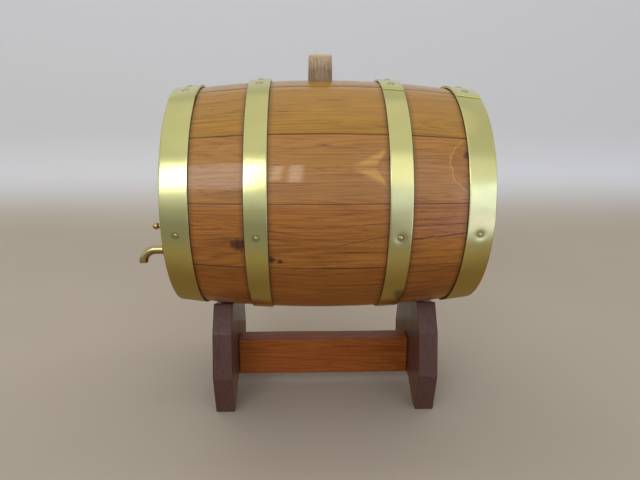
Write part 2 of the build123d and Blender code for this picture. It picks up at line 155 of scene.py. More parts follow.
def block_mesh(name, counts, place, grain, near=None):
    """Closed mesh over the six sides of a bent block. place(i, j, k) gives a vertex,
    grain(i, j, k) the coordinates that its material runs along, and near(i, j, k) a distance."""
    work = bmesh.new()
    layer = work.verts.layers.float_vector.new("grain")
    near_layer = work.verts.layers.float.new("near") if near else None
    last = [count - 1 for count in counts]
    made = {}

    def corner(key):
        if key not in made:
            made[key] = work.verts.new(place(*key))
            made[key][layer] = grain(*key)
            if near:
                made[key][near_layer] = near(*key)
        return made[key]

    for axis in range(3):
        first, second = [other for other in range(3) if other != axis]
        for side in (0, last[axis]):
            for u in range(last[first]):
                for v in range(last[second]):
                    keys = []
                    for du, dv in ((0, 0), (1, 0), (1, 1), (0, 1)):
                        key = [0, 0, 0]
                        key[axis], key[first], key[second] = side, u + du, v + dv
                        keys.append(corner(tuple(key)))
                    work.faces.new(keys)
    return finish_mesh(name, work)


def turned(work, profile, place, segments, shape=lambda turn, radius, height: (radius, height)):
    """Adds a closed turned shape to a bmesh. profile runs from the axis to the axis as
    (radius, height); place is its matrix; shape may roughen it."""
    rows = []
    for radius, height in profile:
        if radius == 0:
            rows.append([work.verts.new(place @ Vector((0, 0, height)))])
            continue
        row = []
        for step in range(segments):
            turn = 2 * pi * step / segments
            r, h = shape(turn, radius, height)
            row.append(work.verts.new(place @ Vector((r * cos(turn), r * sin(turn), h))))
        rows.append(row)
    for low, high in zip(rows, rows[1:]):
        for step in range(segments):
            after = (step + 1) % segments
            if len(low) == 1:
                work.faces.new((low[0], high[after], high[step]))
            elif len(high) == 1:
                work.faces.new((low[step], low[after], high[0]))
            else:
                work.faces.new((low[step], low[after], high[after], high[step]))


def carve(draft, cutter):
    """Has an object cut another one."""
    cut = draft.modifiers.new("cut", "BOOLEAN")
    cut.operation = "DIFFERENCE"
    cut.object = cutter
    cut.solver = "EXACT"


def softened(name, node, voxel, rounds, cut=None, displace=None):
    """A finer copy of a CAD node whose edges are rounded as by wear."""
    work = bmesh.new()
    work.from_mesh(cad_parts[node].data)
    bmesh.ops.remove_doubles(work, verts=work.verts, dist=1e-6)
    mesh = bpy.data.meshes.new(name + "_rough")
    work.to_mesh(mesh)
    work.free()
    draft = add_object(name + "_rough", mesh)
    if cut is not None:
        carve(draft, cut)
    remesh = draft.modifiers.new("remesh", "REMESH")
    remesh.mode = "VOXEL"
    remesh.voxel_size = voxel
    smooth = draft.modifiers.new("smooth", "SMOOTH")
    smooth.factor = 0.5
    smooth.iterations = rounds
    result = applied(draft, name)
    if displace is not None:
        count = len(result.vertices)
        points, normals = np.empty(count * 3), np.empty(count * 3)
        result.vertices.foreach_get("co", points)
        result.vertices.foreach_get("normal", normals)
        pairs = zip(points.reshape(-1, 3), normals.reshape(-1, 3))
        moved = [displace(Vector(point), Vector(normal)) for point, normal in pairs]
        result.vertices.foreach_set("co", np.array(moved, float).ravel())
        result.update()
    result.shade_smooth()
    return result


def applied(draft, name):
    """The mesh of an object with its modifiers applied; the object is removed."""
    bpy.context.view_layer.update()
    graph = bpy.context.evaluated_depsgraph_get()
    result = bpy.data.meshes.new_from_object(draft.evaluated_get(graph))
    result.name = name
    bpy.data.objects.remove(draft)
    return result


# ------------------------ material helpers


class Graph:
    """Adds nodes to a node tree."""

    def __init__(self, tree):
        self.tree = tree
        tree.nodes.clear()

    def link(self, value, socket):
        self.tree.links.new(value, socket)

    def put(self, socket, value):
        if isinstance(value, bpy.types.NodeSocket):
            self.tree.links.new(value, socket)
        elif isinstance(value, (tuple, list)) and socket.type == "RGBA" and len(value) == 3:
            socket.default_value = (*value, 1.0)
        else:
            socket.default_value = value

    def node(self, kind, settings=None, **inputs):
        made = self.tree.nodes.new("ShaderNode" + kind)
        for key, value in (settings or {}).items():
            setattr(made, key, value)
        for key, value in inputs.items():
            self.put(made.inputs[key.replace("_", " ")], value)
        return made

    def coordinates(self, attribute=None):
        if attribute is None:
            return self.node("TexCoord").outputs["Object"]
        return self.node("Attribute", {"attribute_name": attribute}).outputs["Vector"]

    def calc(self, operation, a, b=0.0, c=0.0, clamp=False):
        made = self.node("Math", {"operation": operation, "use_clamp": clamp})
        for socket, value in zip(made.inputs, (a, b, c)):
            self.put(socket, value)
        return made.outputs["Value"]

    def plus(self, a, b):
        return self.calc("ADD", a, b)

    def minus(self, a, b):
        return self.calc("SUBTRACT", a, b)

    def times(self, a, b):
        return self.calc("MULTIPLY", a, b)

    def times_plus(self, a, b, c):
        return self.calc("MULTIPLY_ADD", a, b, c)

    def bands(self, value, count):
        return self.times(self.calc("PINGPONG", self.times(value, count), 0.5), 2.0)

    def distance(self):
        """The distance that block_mesh wrote into the mesh."""
        return self.node("Attribute", {"attribute_name": "near"}).outputs["Fac"]

    def stretch(self, vector, scale):
        return self.node("Mapping", Vector=vector, Scale=scale).outputs["Vector"]

    def vector_calc(self, operation, a, b):
        made = self.node("VectorMath", {"operation": operation})
        self.put(made.inputs[0], a)
        self.put(made.inputs[1], b)
        return made.outputs["Vector"]

    def shifted(self, vector, offset):
        return self.vector_calc("ADD", vector, offset)

    def scaled(self, vector, factors):
        return self.vector_calc("MULTIPLY", vector, factors)

    def split(self, vector):
        return self.node("SeparateXYZ", Vector=vector).outputs

    def joined(self, x, y, z):
        return self.node("CombineXYZ", X=x, Y=y, Z=z).outputs["Vector"]

    def noise(self, vector, scale, detail=2.0, roughness=0.5, distortion=0.0, colour=False):
        if isinstance(scale, int):
            scale = (scale, scale, scale)
        made = self.node("TexNoise", Vector=self.stretch(vector, scale), Scale=1.0,
                         Detail=detail, Roughness=roughness, Distortion=distortion)
        return made.outputs["Color" if colour else "Fac"]

    def ramp(self, value, stops, smooth=False):
        made = self.node("ValToRGB", Fac=value)
        made.color_ramp.interpolation = "EASE" if smooth else "LINEAR"
        elements = made.color_ramp.elements
        while len(elements) < len(stops):
            elements.new(1.0)
        for element, (place, shade) in zip(elements, stops):
            element.position = place
            element.color = (*shade, 1.0) if isinstance(shade, tuple) else (shade, shade, shade, 1.0)
        return made.outputs["Color"]

    def rise(self, value, start, end):
        return self.ramp(value, ((start, 0.0), (end, 1.0)))

    def fall(self, value, start, end):
        return self.ramp(value, ((start, 1.0), (end, 0.0)))

    def mix(self, factor, a, b, mode="MIX"):
        made = self.node("Mix", {"data_type": "RGBA", "blend_type": mode, "clamp_factor": True})
        self.put(made.inputs[0], factor)
        self.put(made.inputs[6], a)
        self.put(made.inputs[7], b)
        return made.outputs[2]

    def bump(self, height, distance):
        return self.node("Bump", Height=height, Distance=distance, Strength=1.0).outputs["Normal"]


class Finish(Graph):
    """A node material round one Principled shader."""

    def __init__(self, name, **fixed):
        self.material = bpy.data.materials.new(name)
        self.material.use_nodes = True
        super().__init__(self.material.node_tree)
        output = self.node("OutputMaterial")
        self.shader = self.node("BsdfPrincipled")
        self.link(self.shader.outputs["BSDF"], output.inputs["Surface"])
        for socket, value in fixed.items():
            self.set(socket.replace("_", " "), value)

    def set(self, socket, value):
        self.put(self.shader.inputs[socket], value)



KNOT_DARK = (0.030, 0.018, 0.020)


def dimmed(colour, share):
    return tuple(share * part for part in colour)


def knot_field(f, parts, base, knots):
    """The coordinate across the fibres, which bend round each knot, and the knots' mask."""
    across, mask = parts["Y"], None
    ragged = f.noise(base, (230, 420, 420), detail=3.0) if knots else None
    for x, y, size in knots:
        along = f.minus(parts["X"], x)
        from_x = f.times(along, 1 / (size * 2.4))
        from_y = f.times(f.minus(parts["Y"], y), 1 / size)
        y_squared = f.times(from_y, from_y)
        squared = f.times_plus(from_x, from_x, y_squared)
        falloff = f.calc("DIVIDE", 1.0, f.times_plus(squared, squared, 1.0))
        across = f.plus(across, f.times(f.times(from_y, falloff), -0.85 * size))
        near_x = f.times(along, 1 / (size * 1.35))
        near = f.plus(f.times_plus(near_x, near_x, y_squared), f.times_plus(ragged, 1.8, -0.9))
        spot = f.calc("SUBTRACT", 1.0, f.times(near, 1.1), clamp=True)
        mask = spot if mask is None else f.calc("MAXIMUM", mask, spot)
    return across, mask


def flame_mask(f, parts, placed, x, y, length, slope):
    """A wedge with a hollow wide end."""
    ahead = f.calc("DIVIDE", f.minus(parts["X"], x), length)
    wobble = f.times_plus(f.noise(placed, (60, 260, 260), detail=3.0), 0.0016, -0.0008)
    side = f.calc("ABSOLUTE", f.plus(f.minus(parts["Y"], y), wobble))
    reach = f.times_plus(ahead, slope * length, 2.6 * MM)
    hollow = f.times(reach, f.ramp(ahead, ((0.66, 0.0), (1.0, 0.86))))
    outside = f.rise(f.minus(reach, side), 0.0, 0.0012)
    inside = f.rise(f.minus(side, hollow), -0.0012, 0.0008)
    ends = f.ramp(ahead, ((0.0, 0.0), (0.04, 1.0), (0.88, 1.0), (1.0, 0.0)))
    return f.times(f.times(outside, inside), ends)


def arc_masks(f, parts, placed, x, y, half_length, half_width):
    """Layers of fibres cut across round a knot under a hoop, and the rim round them."""
    far_x = f.times(f.minus(parts["X"], x), 1 / half_length)
    far_y = f.times(f.minus(parts["Y"], y), 1 / half_width)
    far = f.calc("SQRT", f.times_plus(far_x, far_x, f.times(far_y, far_y)))
    far = f.plus(far, f.times_plus(f.noise(placed, 90, detail=3.0), 0.5, -0.25))
    layers = f.bands(far, 7.0)
    within = f.ramp(far, ((0.30, 0.0), (0.45, 1.0), (0.93, 1.0), (1.0, 0.0)))
    rim = f.fall(f.calc("ABSOLUTE", f.minus(far, 1.0)), 0.0, 0.07)
    return f.times(layers, within), rim


def check_line(f, parts, placed, x0, y0, x1, y1, width):
    """A dark check between two places."""
    share = f.times(f.minus(parts["X"], x0), 1 / (x1 - x0))
    line_y = f.times_plus(share, y1 - y0, y0)
    wobble = f.times_plus(f.noise(placed, (70, 10, 10), detail=3.0), 0.0022, -0.0011)
    gap = f.calc("ABSOLUTE", f.plus(f.minus(parts["Y"], line_y), wobble))
    body = f.fall(f.calc("DIVIDE", gap, width), 0.25, 1.0)
    ends = f.ramp(share, ((0.0, 0.0), (0.12, 1.0), (0.9, 1.0), (1.0, 0.0)))
    broken = f.ramp(f.noise(placed, (120, 500, 500)), ((0.34, 0.35), (0.5, 1.0)))
    return f.times(f.times(body, ends), broken)


def check_mask(f, parts, placed, swayed, cracks, lines):
    """Sparse long checks that follow the grain, and the ones that stand at known places."""
    field = f.noise(swayed, (2.2, 150, 150), detail=1.5, roughness=0.4)
    mask = f.fall(f.calc("ABSOLUTE", f.minus(field, 0.5)), 0.0, 0.013)
    zone = f.rise(f.noise(swayed, (7, 36, 36), detail=1.0), 0.55, 0.64)
    mask = f.times(f.times(mask, zone), cracks)
    for line in lines:
        mask = f.calc("MAXIMUM", mask, f.times(check_line(f, parts, placed, *line), 0.9))
    return mask


def pore_mask(f, swayed):
    """Open pores: short dashes."""
    field = f.noise(swayed, (75, 1700, 1700), detail=2.0, roughness=0.5)
    zone = f.ramp(f.noise(swayed, (6, 90, 90), detail=1.0), ((0.42, 0.12), (0.62, 1.0)))
    return f.times(f.rise(field, 0.60, 0.70), zone)


def seam_mask(f, placed):
    """The dirt in the joints between staves, unevenly filled."""
    seam = f.fall(f.calc("DIVIDE", f.distance(), 2 * MM), 0.16, 0.50)
    filled = f.ramp(f.noise(placed, (22, 3, 3)), ((0.36, 0.45), (0.56, 0.95)))
    return f.times(seam, filled)


def wood(name, light, mid, dark, seed, knots=(), flames=(), arcs=(), lines=(), cracks=0.5, pores=0.6,
         figure=0.5, staved=False, attribute="grain", order="XYZ", roughness=(0.26, 0.44), coat=0.6,
         coat_roughness=0.045, relief=1.0, fineness=1.0, grain=1.0, lit_end=None, specular=0.3):
    """Varnished wood. Its coordinates run along the fibres in X, across them in Y and Z.
    knots are (x, y, size), flames pale wedges (x, y, length, slope), arcs curved layers
    (x, y, half length, half width) and lines dark checks (x0, y0, x1, y1, width). Staved wood
    is darker beside the hoops and in the joints."""
    f = Finish(name, Coat_Weight=coat, Coat_Roughness=coat_roughness, IOR=1.5, Specular_IOR_Level=specular)
    base = f.coordinates(attribute)
    if order != "XYZ":
        axes = f.split(base)
        base = f.joined(*(axes[axis] for axis in order))
    parts = f.split(base)
    across, knot_mask = knot_field(f, parts, base, knots)
    bent = f.joined(parts["X"], across, parts["Z"])
    placed = f.shifted(bent, (seed * 0.731, seed * 0.237, seed * 0.419))
    sway = f.shifted(f.noise(placed, (9, 24, 24), detail=1.0, colour=True), (-0.5, -0.5, -0.5))
    swayed = f.shifted(placed, f.scaled(sway, (0, 0.003, 0.003)))
    # Growth figure: the contour lines of a stretched field.
    field = f.noise(swayed, (2.6, 34, 34), detail=1.5, roughness=0.45, distortion=0.25)
    rings = f.bands(field, 22.0)
    streaks = f.noise(swayed, (13 * fineness, 760 * fineness, 760 * fineness), detail=4.0, roughness=0.6)
    fine = f.noise(swayed, (36, 2300, 2300), detail=3.0, roughness=0.6)
    patches = f.noise(swayed, (5, 30, 30), detail=3.0, roughness=0.55)
    amount = f.times_plus(rings, 0.22 * figure, f.times(streaks, 0.62))
    amount = f.times_plus(fine, 0.55, f.times_plus(patches, 0.50, amount))
    amount = f.minus(amount, 0.365 + 0.11 * figure)
    colour = f.ramp(amount, ((0.14, dark), (0.47, mid), (0.80, light)))
    line_field = f.noise(swayed, (9, 1050, 1050), detail=2.5, roughness=0.55)
    line_zone = f.ramp(f.noise(placed, (10, 60, 60)), ((0.35, 0.35), (0.60, 1.0)))
    grain_lines = f.times(f.fall(line_field, 0.36, 0.46), line_zone)
    colour = f.mix(f.times(grain_lines, 0.62 * grain), colour, dark)
    deep = dimmed(dark, 0.30)
    glow = tuple(min(1.0, gain * part) for gain, part in zip((1.28, 1.36, 1.12), light))
    for flame in flames:
        colour = f.mix(f.times(flame_mask(f, parts, placed, *flame), 0.85), colour, glow)
    for arc in arcs:
        layers, rim = arc_masks(f, parts, placed, *arc)
        colour = f.mix(f.times(layers, 0.45), colour, dark)
        colour = f.mix(f.times(rim, 0.5), colour, glow)
    pore = pore_mask(f, swayed)
    colour = f.mix(f.times(pore, pores), colour, deep)
    check = check_mask(f, parts, placed, swayed, cracks, lines)
    colour = f.mix(check, colour, deep)
    if knot_mask is not None:
        heart = f.noise(placed, (300, 420, 420), detail=3.0)
        heart = f.mix(heart, KNOT_DARK, dimmed(dark, 0.55))
        colour = f.mix(f.ramp(knot_mask, ((0.0, 0.0), (0.35, 0.55), (0.9, 0.97))), colour, heart)
    if staved:
        # Painted shade and dirt beside each hoop.
        along = f.times_plus(parts["X"], 1 / SHADE_LENGTH, 0.5)
        colour = f.mix(1.0, colour, f.ramp(along, SHADE_STOPS), mode="MULTIPLY")
        seam = seam_mask(f, placed)
        colour = f.mix(seam, colour, deep)
        f.set("Coat Weight", f.times_plus(seam, -coat, coat))
    if lit_end is not None:  # painted light: paler from one height along the fibres to another, as on the lit top of the bung
        start, end, pale = lit_end
        height = f.calc("DIVIDE", f.minus(parts["X"], start), end - start)
        ragged = f.noise(f.coordinates(), (300, 300, 160), detail=3.0)
        height = f.times_plus(ragged, 1.5, f.minus(height, 0.75))
        colour = f.mix(f.times(f.rise(height, 0.0, 1.0), 0.8), colour, pale)
    f.set("Base Color", colour)
    worn = f.noise(f.coordinates(), 35, detail=3.0)
    low, high = roughness
    f.set("Roughness", f.times_plus(pore, 0.2, f.times_plus(worn, high - low, low)))
    height = f.times_plus(pore, -0.8, f.times(streaks, 0.5))
    f.set("Normal", f.bump(f.times_plus(check, -1.2, height), 0.00018 * relief))
    # The varnish lies smoother than the wood under it.
    f.set("Coat Normal", f.bump(f.times_plus(streaks, 0.30, patches), 0.00007 * relief))
    return f.material


HOOPS = {
    "hoop_end_left": (-132.3 * MM, 25 * MM, -1),
    "hoop_quarter_left": (-62.8 * MM, 20 * MM, -1),
    "hoop_quarter_right": (61.0 * MM, 20 * MM, 1),
    "hoop_end_right": (132.3 * MM, 25 * MM, 1),
}


SHADE_LENGTH = 0.3
SHADE_LINE = ((5.0, 1.0), (1.4, 0.72), (0.2, 0.34))  # out from a hoop's edge in mm, brightness


def shade_stops():
    """Painted shade and dirt on the staves beside each hoop, as stops along the barrel's length."""
    stops = []
    for middle, width, _ in HOOPS.values():
        for edge, side in ((middle - width / 2, -1), (middle + width / 2, 1)):
            if abs(edge) > 140 * MM:
                continue
            for out, level in SHADE_LINE:
                stops.append((0.5 + (edge + side * out * MM) / SHADE_LENGTH, level))
    return sorted(stops)


SHADE_STOPS = shade_stops()


def brass(name, colour, tarnish, roughness, strip=False, brushed=0.0, seed=0.0, dulled=0.45):
    """Polished brass that has dulled a little, with handling marks and fine scratches. On a strip the
    scratches run round the hoop, and a dark ring of painted shade and dirt lies round each nail and rivet."""
    f = Finish(name, Metallic=1.0, IOR=1.5)
    place = f.shifted(f.coordinates(), (seed, seed * 0.37, seed * 0.71))
    cloud = f.noise(place, 24, detail=4.0, roughness=0.6)
    spots = f.noise(place, 260, detail=3.0, roughness=0.65)
    stain = f.rise(cloud, 0.38, 0.72)
    fleck = f.rise(spots, 0.67, 0.76)
    edges = f.node("NewGeometry").outputs["Pointiness"]
    hollow = f.fall(edges, 0.40, 0.49)
    worn = f.rise(edges, 0.52, 0.60)
    base = f.mix(f.times(stain, dulled), colour, tarnish)
    base = f.mix(f.times(fleck, 0.4), base, dimmed(tarnish, 0.45))
    base = f.mix(f.times(hollow, 0.75), base, dimmed(tarnish, 0.3))
    base = f.mix(f.times(worn, 0.5), base, tuple(min(1.0, 1.12 * part) for part in colour))
    low, high = roughness
    rough = f.times_plus(cloud, high - low, low)
    rough = f.times_plus(fleck, 0.15, rough)
    height = f.noise(place, 45, detail=1.0)
    if strip:
        lines = f.noise(f.coordinates("strip"), (7, 2400, 2400), detail=3.0, roughness=0.6)
        rough = f.times_plus(lines, 0.05, rough)
        base = f.mix(f.times(lines, 0.10), base, tarnish)
        # Painted shade and dirt in a dark ring at the edge of each nail and rivet head.
        away = f.calc("DIVIDE", f.distance(), 6 * MM)
        rim_shade_and_dirt = f.ramp(away, ((0.32, 0.0), (0.37, 0.85), (0.46, 0.5), (0.75, 0.0)))
        base = f.mix(rim_shade_and_dirt, base, dimmed(tarnish, 0.25))
        rough = f.times_plus(rim_shade_and_dirt, 0.2, rough)
        f.set("Anisotropic", brushed)
        tangent = f.node("Tangent", {"direction_type": "RADIAL", "axis": "X"})
        f.set("Tangent", tangent.outputs["Tangent"])
    f.set("Base Color", base)
    f.set("Roughness", rough)
    f.set("Normal", f.bump(height, 0.00004))
    return f.material


# ------------------------ the materials

# The staves' middle tones, partly their own tone and partly painted shade: the top ones are amber, the
# lower ones redder and darker, with painted shade on the underside.
AMBER, HONEY = (0.47, 0.225, 0.024), (0.48, 0.210, 0.040)
RUSSET, CHESTNUT = (0.43, 0.158, 0.022), (0.33, 0.108, 0.013)


def tones(mid, contrast=1.0):
    """Light, middle and dark tone of a wood from its middle one."""
    light = tuple(part * (1 + contrast * gain) for part, gain in zip(mid, (0.20, 0.34, 0.60)))
    dark = tuple(part * (1 - contrast * loss) for part, loss in zip(mid, (0.46, 0.56, 0.60)))
    return light, mid, dark


# Each stave's own tone, with painted shade in the darker tones of the lower staves.
STAVE_TONES_AND_SHADE = (
    RUSSET, HONEY, AMBER, AMBER, HONEY, RUSSET, HONEY, CHESTNUT, RUSSET, CHESTNUT, RUSSET, CHESTNUT,
)
PALE_STAVES = (1, 2, 3, 4, 6)
KNOTS = {  # stave: place along it, place across it from its middle, size; mm
    0: ((-77.0, -6.5, 7.4), (-51.0, -20.6, 3.6), (-43.0, -23.0, 2.6)),
    1: ((119.5, 12.5, 3.6),),
    4: ((35.0, 12.0, 3.0),),
    6: ((-20.0, 8.0, 2.6), (88.0, -14.0, 1.8)),
    8: ((60.0, 3.0, 2.4),),
}
FLAMES = {  # x, y and length in mm, and slope
    1: ((18.5, 0.6, 31.0, 0.50),),
    6: ((-70.0, -3.0, 30.0, 0.4),),
}
ARCS = {1: ((121.5, 4.0, 17.5, 22.0),)}  # centre, half length and half width, mm
CHECKS = {  # ends and half width; mm
    0: ((66.0, -2.2, 123.0, 2.2, 1.0), (68.0, 10.4, 122.0, 11.2, 0.60), (70.0, 16.6, 112.0, 17.4, 0.30),
        (12.0, 11.4, 56.0, 13.4, 0.36), (2.0, -7.8, 58.0, 3.6, 0.42), (-109.0, -2.9, -76.0, 0.0, 0.34)),
    6: ((-110.0, 6.0, -40.0, 4.0, 0.5), (20.0, -9.0, 96.0, -6.0, 0.45)),
}


def marks(table, index, count):
    """A stave's rows of a table, of which the first count numbers are in millimetres."""
    rows = table.get(index, ())
    return [tuple(value * MM for value in row[:count]) + tuple(row[count:]) for row in rows]


def stave_wood(index):
    contrast = 0.85 if index in PALE_STAVES else 1.3
    return wood(
        f"oak_stave_{index + 1:02d}", *tones(STAVE_TONES_AND_SHADE[index], contrast), seed=index + 1.0,
        knots=marks(KNOTS, index, 3), flames=marks(FLAMES, index, 3), arcs=marks(ARCS, index, 4),
        lines=marks(CHECKS, index, 5), figure=0.75, staved=True,
    )


stave_finishes = [stave_wood(index) for index in range(len(STAVE_ARCS))]
head_finishes = {
    board: wood(f"oak_head_{board}", *tones(mid), seed=20.0 + number, figure=0.9)
    for number, (board, mid) in enumerate((("bottom", CHESTNUT), ("middle", HONEY), ("top", RUSSET)))
}
HOOP_BRASS = brass(
    "brass_hoops", (0.86, 0.82, 0.36), (0.66, 0.60, 0.24), (0.12, 0.20),
    strip=True, brushed=0.6, dulled=0.35,
)
FASTENER_BRASS = brass("brass_fasteners", (0.66, 0.61, 0.29), (0.34, 0.30, 0.14), (0.14, 0.30), seed=3.0)
TAP_BRASS = brass("brass_tap", (0.68, 0.57, 0.27), (0.30, 0.235, 0.10), (0.15, 0.32), seed=7.0)
BOARD_WOOD = wood(
    "stand_boards", *tones((0.118, 0.054, 0.042), 0.9), seed=31.0, attribute=None, order="ZXY",
    figure=0.5, cracks=0.3, coat=0.2, coat_roughness=0.18, grain=0.7, specular=0.18,
)
RAIL_WOOD = wood(
    "stand_rail", *tones((0.35, 0.095, 0.016)), seed=41.0, attribute=None, figure=0.8,
    coat=0.12, coat_roughness=0.16, roughness=(0.36, 0.52), specular=0.18,
)
# The top of the bung is painted paler, as light falling on it from above.
BUNG_WOOD = wood(
    "bung_wood", *tones((0.38, 0.28, 0.16), 1.35), seed=51.0, attribute=None, order="ZXY", figure=0.5,
    coat=0.0, roughness=(0.55, 0.8), relief=2.0, fineness=0.6,
    lit_end=(0.342, 0.357, (0.80, 0.62, 0.40)),
)


def leather(name):
    f = Finish(name, IOR=1.45)
    place = f.coordinates()
    cells = f.node("TexVoronoi", {"feature": "DISTANCE_TO_EDGE"}, Vector=place, Scale=1500.0)
    grain_height = f.rise(cells.outputs["Distance"], 0.0, 0.25)
    cloud = f.noise(place, 160, detail=4.0)
    colour = f.ramp(cloud, ((0.3, (0.060, 0.026, 0.014)), (0.7, (0.150, 0.068, 0.034))))
    f.set("Base Color", f.mix(grain_height, (0.03, 0.014, 0.009), colour))
    f.set("Roughness", f.times_plus(cloud, 0.25, 0.5))
    f.set("Normal", f.bump(grain_height, 0.00015))
    return f.material


def steel(name):
    f = Finish(name, Metallic=1.0, IOR=1.5)
    place = f.coordinates()
    cloud = f.noise(place, 90, detail=4.0)
    rust = f.rise(f.noise(place, 420, detail=4.0, roughness=0.7), 0.56, 0.72)
    colour = f.ramp(cloud, ((0.3, (0.36, 0.35, 0.34)), (0.7, (0.60, 0.59, 0.57))))
    f.set("Base Color", f.mix(f.times(rust, 0.6), colour, (0.16, 0.08, 0.04)))
    f.set("Roughness", f.times_plus(rust, 0.3, f.times_plus(cloud, 0.2, 0.24)))
    f.set("Normal", f.bump(f.noise(place, (60, 1400, 1400), detail=3.0), 0.00004))
    return f.material


SEAL_LEATHER = leather("leather_seal")
SCREW_STEEL = steel("steel_screws")

# ------------------------ staves

END_ROUNDING = ((0.0, 0.9), (0.25, 0.42), (0.7, 0.1), (1.4, 0.0))  # in from the end, drop; mm


def stave_stations():
    """Places along half a stave, from its middle to its end, with the inside radius there."""
    groove_low, groove_high = CROZE_X - CROZE_HALF_WIDTH, CROZE_X + CROZE_HALF_WIDTH
    groove = inner_radius(CROZE_X) + CROZE_DEPTH
    bevel_start = HALF_LENGTH - BEVEL_LENGTH
    bevel_end = inner_radius(HALF_LENGTH) + BEVEL_DEPTH
    gap = 0.02 * MM
    stations = [(x * STAVE_STATION, inner_radius(x * STAVE_STATION)) for x in range(STAVE_STATIONS)]
    stations.append((groove_low - gap, inner_radius(groove_low)))
    stations.append((groove_low + gap, groove))
    stations.append((groove_high - gap, groove))
    stations.append((groove_high + gap, inner_radius(groove_high)))
    stations.append((135 * MM, inner_radius(135 * MM)))
    for x in (bevel_start, 141 * MM, *(HALF_LENGTH - step * MM for step, _ in reversed(END_ROUNDING))):
        share = (x - bevel_start) / BEVEL_LENGTH
        stations.append((x, inner_radius(bevel_start) * (1 - share) + bevel_end * share))
    return [(-x, r) for x, r in reversed(stations[1:])] + stations


def end_drop(x):
    """How far the outside is rounded away near the stave's end."""
    from_end = (HALF_LENGTH - abs(x)) / MM
    for (near, high), (far, low) in zip(END_ROUNDING, END_ROUNDING[1:]):
        if from_end <= far + 1e-6:
            share = (from_end - near) / (far - near)
            return (high * (1 - share) + low * share) * MM
    return 0.0


def stave_angles(start, arc):
    """Angles across a stave, close together at its two edges."""
    edge = [(degrees(step * MM / BILGE_RADIUS), drop * MM) for step, drop in JOINT_ROUNDING]
    first, last = edge[-1][0], arc - edge[-1][0]
    gap = (last - first) / STAVE_COLUMNS
    middle = [(first + gap * step, 0.0) for step in range(1, STAVE_COLUMNS)]
    run = edge + middle + [(arc - angle, drop) for angle, drop in reversed(edge)]
    return [(start + angle, drop) for angle, drop in run]


def closed_up(joint):
    """How far a joint counts as further off, which leaves a fainter line where it is tight."""
    return TIGHT_JOINT if abs(joint) < TIGHT_BELOW else 0.0


def make_stave(index, start, arc):
    stations = stave_stations()
    angles = stave_angles(start, arc)
    centre = start + arc / 2

    def place(i, j, k):
        x, inside = stations[i]
        angle, drop = angles[j]
        share = (angle - centre) / (arc / 2)
        crown = STAVE_CROWN * (share * share)  # the drawknife leaves each stave a little flatter
        hand = HAND_MARKS * (1 + wander(index + 1, x * 16, angle * 0.09))
        outside = outer_radius(x) - max(drop, end_drop(x)) - hand - STAVE_CROWN + crown
        radius = outside + (inside - outside) * k / STAVE_LAYERS
        return polar(x, angle, radius)

    def grain(i, j, k):
        x, inside = stations[i]
        angle = angles[j][0]
        outside = outer_radius(x)
        depth = (outside - inside) * k / STAVE_LAYERS
        return Vector((x, radians(angle - centre) * (outside - depth), -depth))

    def near(i, j, k):
        angle = angles[j][0]
        low = radians(angle - start) * BILGE_RADIUS + closed_up(start)
        high = radians(start + arc - angle) * BILGE_RADIUS + closed_up(start + arc)
        return min(low, high)

    name = f"oak_stave_{index + 1:02d}"

    mesh = block_mesh(name, (len(stations), len(angles), STAVE_LAYERS + 1), place, grain, near)
    return add_piece(name, mesh, "barrel", "oak_staves", stave_finishes[index], f"stave_{index + 1:02d}")


joint = FIRST_JOINT
staves = []
for index, arc in enumerate(STAVE_ARCS):
    staves.append(make_stave(index, joint, arc))
    joint += arc

# The bung hole, with a worn rim, is cut through the top stave.
bung_low, bung_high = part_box("bung")
BUNG_CENTRE = (bung_low + bung_high) / 2
BUNG_RADIUS = (bung_high.x - bung_low.x) / 2
BUNG_TIP_RADIUS = 10.9 * MM
BUNG_SHRINK = 0.02 * MM
SURFACE_Z = AXIS_HEIGHT + BILGE_RADIUS
HOLE_FIT = 0.12 * MM
HOLE_TIP_RADIUS = 10.8 * MM
HOLE_RIM = 1.5 * MM
CUT_DEPTH, CUT_HEIGHT = 18 * MM, 4 * MM


def cut_bung_hole(stave):
    work = bmesh.new()
    profile = (
        (0.0, -CUT_DEPTH), (HOLE_TIP_RADIUS + HOLE_FIT, -CUT_DEPTH),
        (BUNG_RADIUS - BUNG_SHRINK + HOLE_FIT, -1.0 * MM), (BUNG_RADIUS + 0.35 * MM + HOLE_FIT, -0.25 * MM),
        (BUNG_RADIUS + HOLE_RIM, 1.2 * MM), (BUNG_RADIUS + HOLE_RIM, CUT_HEIGHT), (0.0, CUT_HEIGHT),
    )
    turned(work, profile, Matrix.Translation((BUNG_CENTRE.x, 0, SURFACE_Z)), 96)
    cutter = add_object("bung_hole_cutter", finish_mesh("bung_hole_cutter", work))
    draft = stave.copy()
    draft.data = stave.data.copy()
    draft.parent = None
    bpy.context.scene.collection.objects.link(draft)
    carve(draft, cutter)
    stave.data = applied(draft, stave.data.name)
    stave.data.set_sharp_from_angle(angle=radians(40))
    bpy.data.objects.remove(cutter)


cut_bung_hole(staves[3])

# ------------------------ heads


HEAD_RADIUS = 99.95 * MM
TONGUE = 4.8 * MM  # depth of the head's face over its tongue
TONGUE_RISE = 5.1 * MM
HEAD_COLUMNS, HEAD_ROWS = 44, 20
EDGE_GAP = 0.4 * MM  # keeps the first and last row off the very edge of the circle


